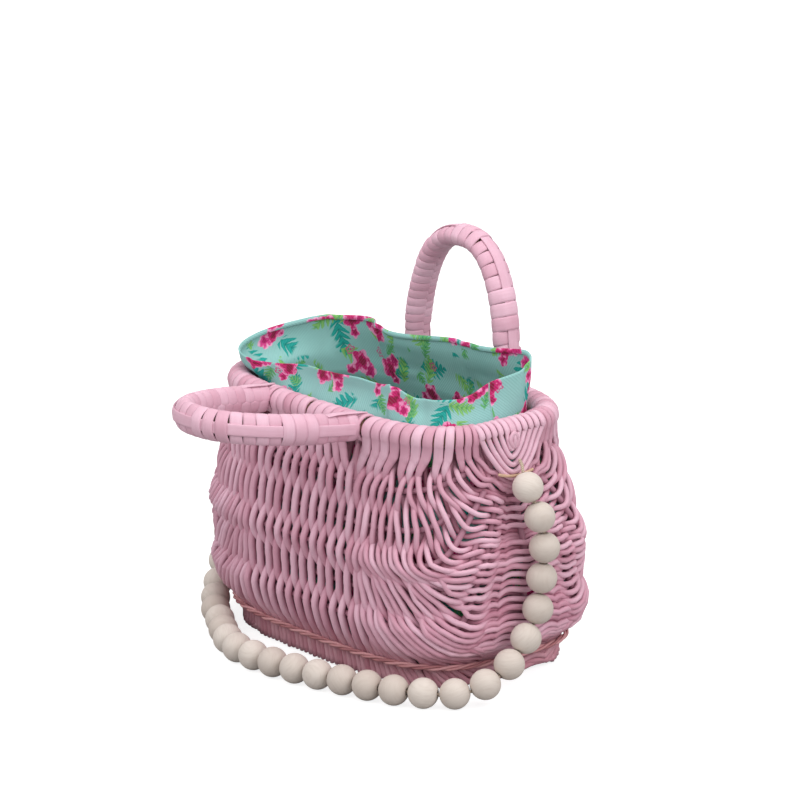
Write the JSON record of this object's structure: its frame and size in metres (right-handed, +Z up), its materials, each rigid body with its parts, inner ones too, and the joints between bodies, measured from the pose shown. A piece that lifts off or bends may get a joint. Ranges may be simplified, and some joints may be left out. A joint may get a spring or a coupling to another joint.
{
  "type": "wicker basket bag",
  "caption": "Painted wicker handbag with an oblong basket body, folding hooped handles, a standing fabric liner and a strap of wooden beads.",
  "frame": {"origin": "on the floor, under the middle of the basket's flat underside", "axes": "+Z up, +X along the basket towards the end where the strap hangs down, -Y towards the side that the front handle folds over"},
  "size_m": [0.329, 0.2466, 0.2722],
  "materials": {
    "wicker": "pink painted cane",
    "wicker_dark": "pink painted cane, darker",
    "bare_cane": "bare cane",
    "liner_fabric": "printed cotton twill",
    "string": "twisted string",
    "bead_wood": "matt bare wood"
  },
  "bodies": {
    "basket": {"woven_body": "wicker", "rim_hoop": "bare_cane", "rim_wrap_front": "wicker", "rim_wrap_back": "wicker", "rim_wrap_left": "wicker", "rim_wrap_right": "wicker", "rib_front_1": "bare_cane", "rib_front_2": "bare_cane", "rib_front_3": "bare_cane", "rib_front_4": "bare_cane", "rib_front_5": "bare_cane", "rib_back_1": "bare_cane", "rib_back_2": "bare_cane", "rib_back_3": "bare_cane", "rib_back_4": "bare_cane", "rib_back_5": "bare_cane", "keel_rib": "bare_cane", "foot_border": "wicker_dark", "end_knot_right": "wicker", "end_knot_left": "wicker", "liner_bag": "liner_fabric", "liner_collar": "liner_fabric", "strap_cord": "string", "strap_bead_01": "bead_wood", "strap_bead_02": "bead_wood", "strap_bead_03": "bead_wood", "strap_bead_04": "bead_wood", "strap_bead_05": "bead_wood", "strap_bead_06": "bead_wood", "strap_bead_07": "bead_wood", "strap_bead_08": "bead_wood", "strap_bead_09": "bead_wood", "strap_bead_10": "bead_wood", "strap_bead_11": "bead_wood", "strap_bead_12": "bead_wood", "strap_bead_13": "bead_wood", "strap_bead_14": "bead_wood", "strap_bead_15": "bead_wood", "strap_bead_16": "bead_wood", "strap_bead_17": "bead_wood", "strap_bead_18": "bead_wood", "strap_bead_19": "bead_wood", "strap_bead_20": "bead_wood", "strap_bead_21": "bead_wood", "strap_bead_22": "bead_wood", "strap_bead_23": "bead_wood", "strap_bead_24": "bead_wood", "strap_bead_25": "bead_wood", "strap_bead_26": "bead_wood", "strap_bead_27": "bead_wood", "strap_bead_28": "bead_wood", "strap_bead_29": "bead_wood", "strap_bead_30": "bead_wood"},
    "front_handle": {"front_handle_core": "bare_cane", "front_handle_wrap": "wicker", "front_handle_spine": "wicker"},
    "rear_handle": {"rear_handle_core": "bare_cane", "rear_handle_wrap": "wicker", "rear_handle_spine": "wicker"}
  },
  "joints": [
    {"name": "front_handle_fold", "type": "hinge", "parent": "basket", "child": "front_handle", "pos_m": [0, -0.05927, 0.167], "axis": [-1, 0, 0], "range_deg": [-8, 94]},
    {"name": "rear_handle_fold", "type": "hinge", "parent": "basket", "child": "rear_handle", "pos_m": [0, 0.05927, 0.167], "axis": [1, 0, 0], "range_deg": [-86, 16]}
  ]
}
